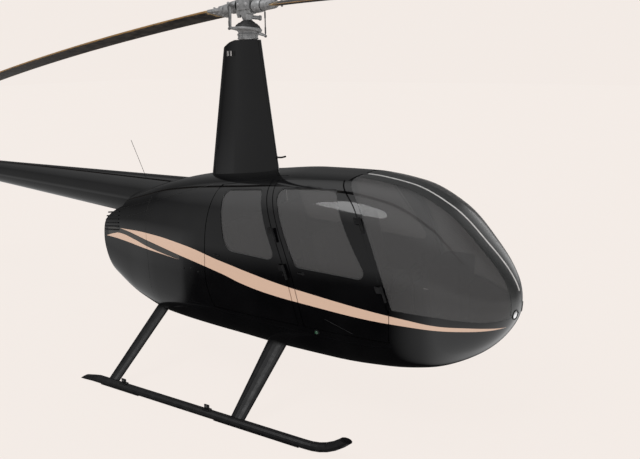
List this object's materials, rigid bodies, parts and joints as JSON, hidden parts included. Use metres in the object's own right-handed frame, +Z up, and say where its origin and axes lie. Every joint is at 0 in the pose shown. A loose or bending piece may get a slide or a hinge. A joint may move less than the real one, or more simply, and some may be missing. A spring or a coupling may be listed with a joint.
{
  "type": "helicopter",
  "caption": "Light piston helicopter with an enclosed cabin, hinged doors, a tall faired mast, a teetering main rotor, a slim tail boom with a guarded tail rotor, and skid landing gear.",
  "frame": {"origin": "ground level, halfway along the machine's overall length (parked blade tip to tail guard) and midway across it", "axes": "+X forward to the nose, +Y to the pilot's left, +Z up"},
  "size_m": [11.6838, 2.262, 3.2778],
  "materials": {
    "gloss_black": "gloss",
    "satin_black": "satin",
    "tinted_glass": "gloss",
    "alloy": "satin",
    "blade_paint": "satin",
    "carpet": "matte",
    "leather": "satin",
    "trim_plastic": "matte",
    "engine_metal": "satin"
  },
  "bodies": {
    "airframe": {"nose_shell": "gloss_black", "cabin_tub": "gloss_black", "roof_shell": "gloss_black", "side_skin_right": "gloss_black", "side_skin_left": "gloss_black", "aft_cowl_right": "gloss_black", "aft_cowl_left": "gloss_black", "post_front_right": "gloss_black", "post_front_left": "gloss_black", "post_middle_right": "gloss_black", "post_middle_left": "gloss_black", "windshield_post": "gloss_black", "mast_fairing": "gloss_black", "tail_boom": "gloss_black", "tail_fins": "gloss_black", "stabiliser": "gloss_black", "leg_front_right": "gloss_black", "leg_front_left": "gloss_black", "leg_rear_right": "gloss_black", "leg_rear_left": "gloss_black", "seat_front_right": "leather", "seat_front_left": "leather", "seat_box_front": "trim_plastic", "seat_rear_right": "leather", "seat_rear_left": "leather", "seat_box_rear": "trim_plastic", "windshield_right": "tinted_glass", "windshield_left": "tinted_glass", "aft_grille": "satin_black", "aft_bulkhead": "satin_black", "cyclic_stick": "satin_black", "tail_guard": "satin_black", "skid_right": "satin_black", "skid_left": "satin_black", "firewall": "trim_plastic", "instrument_console": "trim_plastic", "cabin_floor": "carpet", "pedals_right": "alloy", "pedals_left": "alloy", "cooling_fan": "alloy", "swashplate_lower": "alloy", "tail_gearbox": "alloy", "engine_block": "engine_metal"},
    "main_rotor": {"swashplate_upper": "alloy", "rotor_hub": "alloy", "rotor_blade_1": "blade_paint", "rotor_blade_2": "blade_paint"},
    "tail_rotor": {"tail_rotor": "blade_paint"},
    "door_front_right": {"door_front_right": "gloss_black", "glass_front_right": "tinted_glass"},
    "door_front_left": {"door_front_left": "gloss_black", "glass_front_left": "tinted_glass"},
    "door_rear_right": {"door_rear_right": "gloss_black", "glass_rear_right": "tinted_glass"},
    "door_rear_left": {"door_rear_left": "gloss_black", "glass_rear_left": "tinted_glass"}
  },
  "joints": [
    {"name": "main_rotor_spin", "type": "hinge", "parent": "airframe", "child": "main_rotor", "pos_m": [0.86389, 0, 3], "axis": [0, 0, 1], "continuous": true},
    {"name": "tail_rotor_spin", "type": "hinge", "parent": "airframe", "child": "tail_rotor", "pos_m": [-5.02611, 0.235, 1.60231], "axis": [0, 1, 0], "continuous": true},
    {"name": "door_front_right_hinge", "type": "hinge", "parent": "airframe", "child": "door_front_right", "pos_m": [2.45565, -0.64605, 1.077], "axis": [-0.3924, 0.1023, 0.9141], "range_deg": [0, 75]},
    {"name": "door_front_left_hinge", "type": "hinge", "parent": "airframe", "child": "door_front_left", "pos_m": [2.45565, 0.64605, 1.077], "axis": [0.3924, 0.1023, -0.9141], "range_deg": [0, 75]},
    {"name": "door_rear_right_hinge", "type": "hinge", "parent": "airframe", "child": "door_rear_right", "pos_m": [1.63804, -0.68264, 1.13], "axis": [-0.3554, 0.0666, 0.9323], "range_deg": [0, 75]},
    {"name": "door_rear_left_hinge", "type": "hinge", "parent": "airframe", "child": "door_rear_left", "pos_m": [1.63804, 0.68264, 1.13], "axis": [0.3554, 0.0666, -0.9323], "range_deg": [0, 75]}
  ],
  "couplings": [
    {"joint": "tail_rotor_spin", "follows": "main_rotor_spin", "ratio": -5.9495}
  ]
}
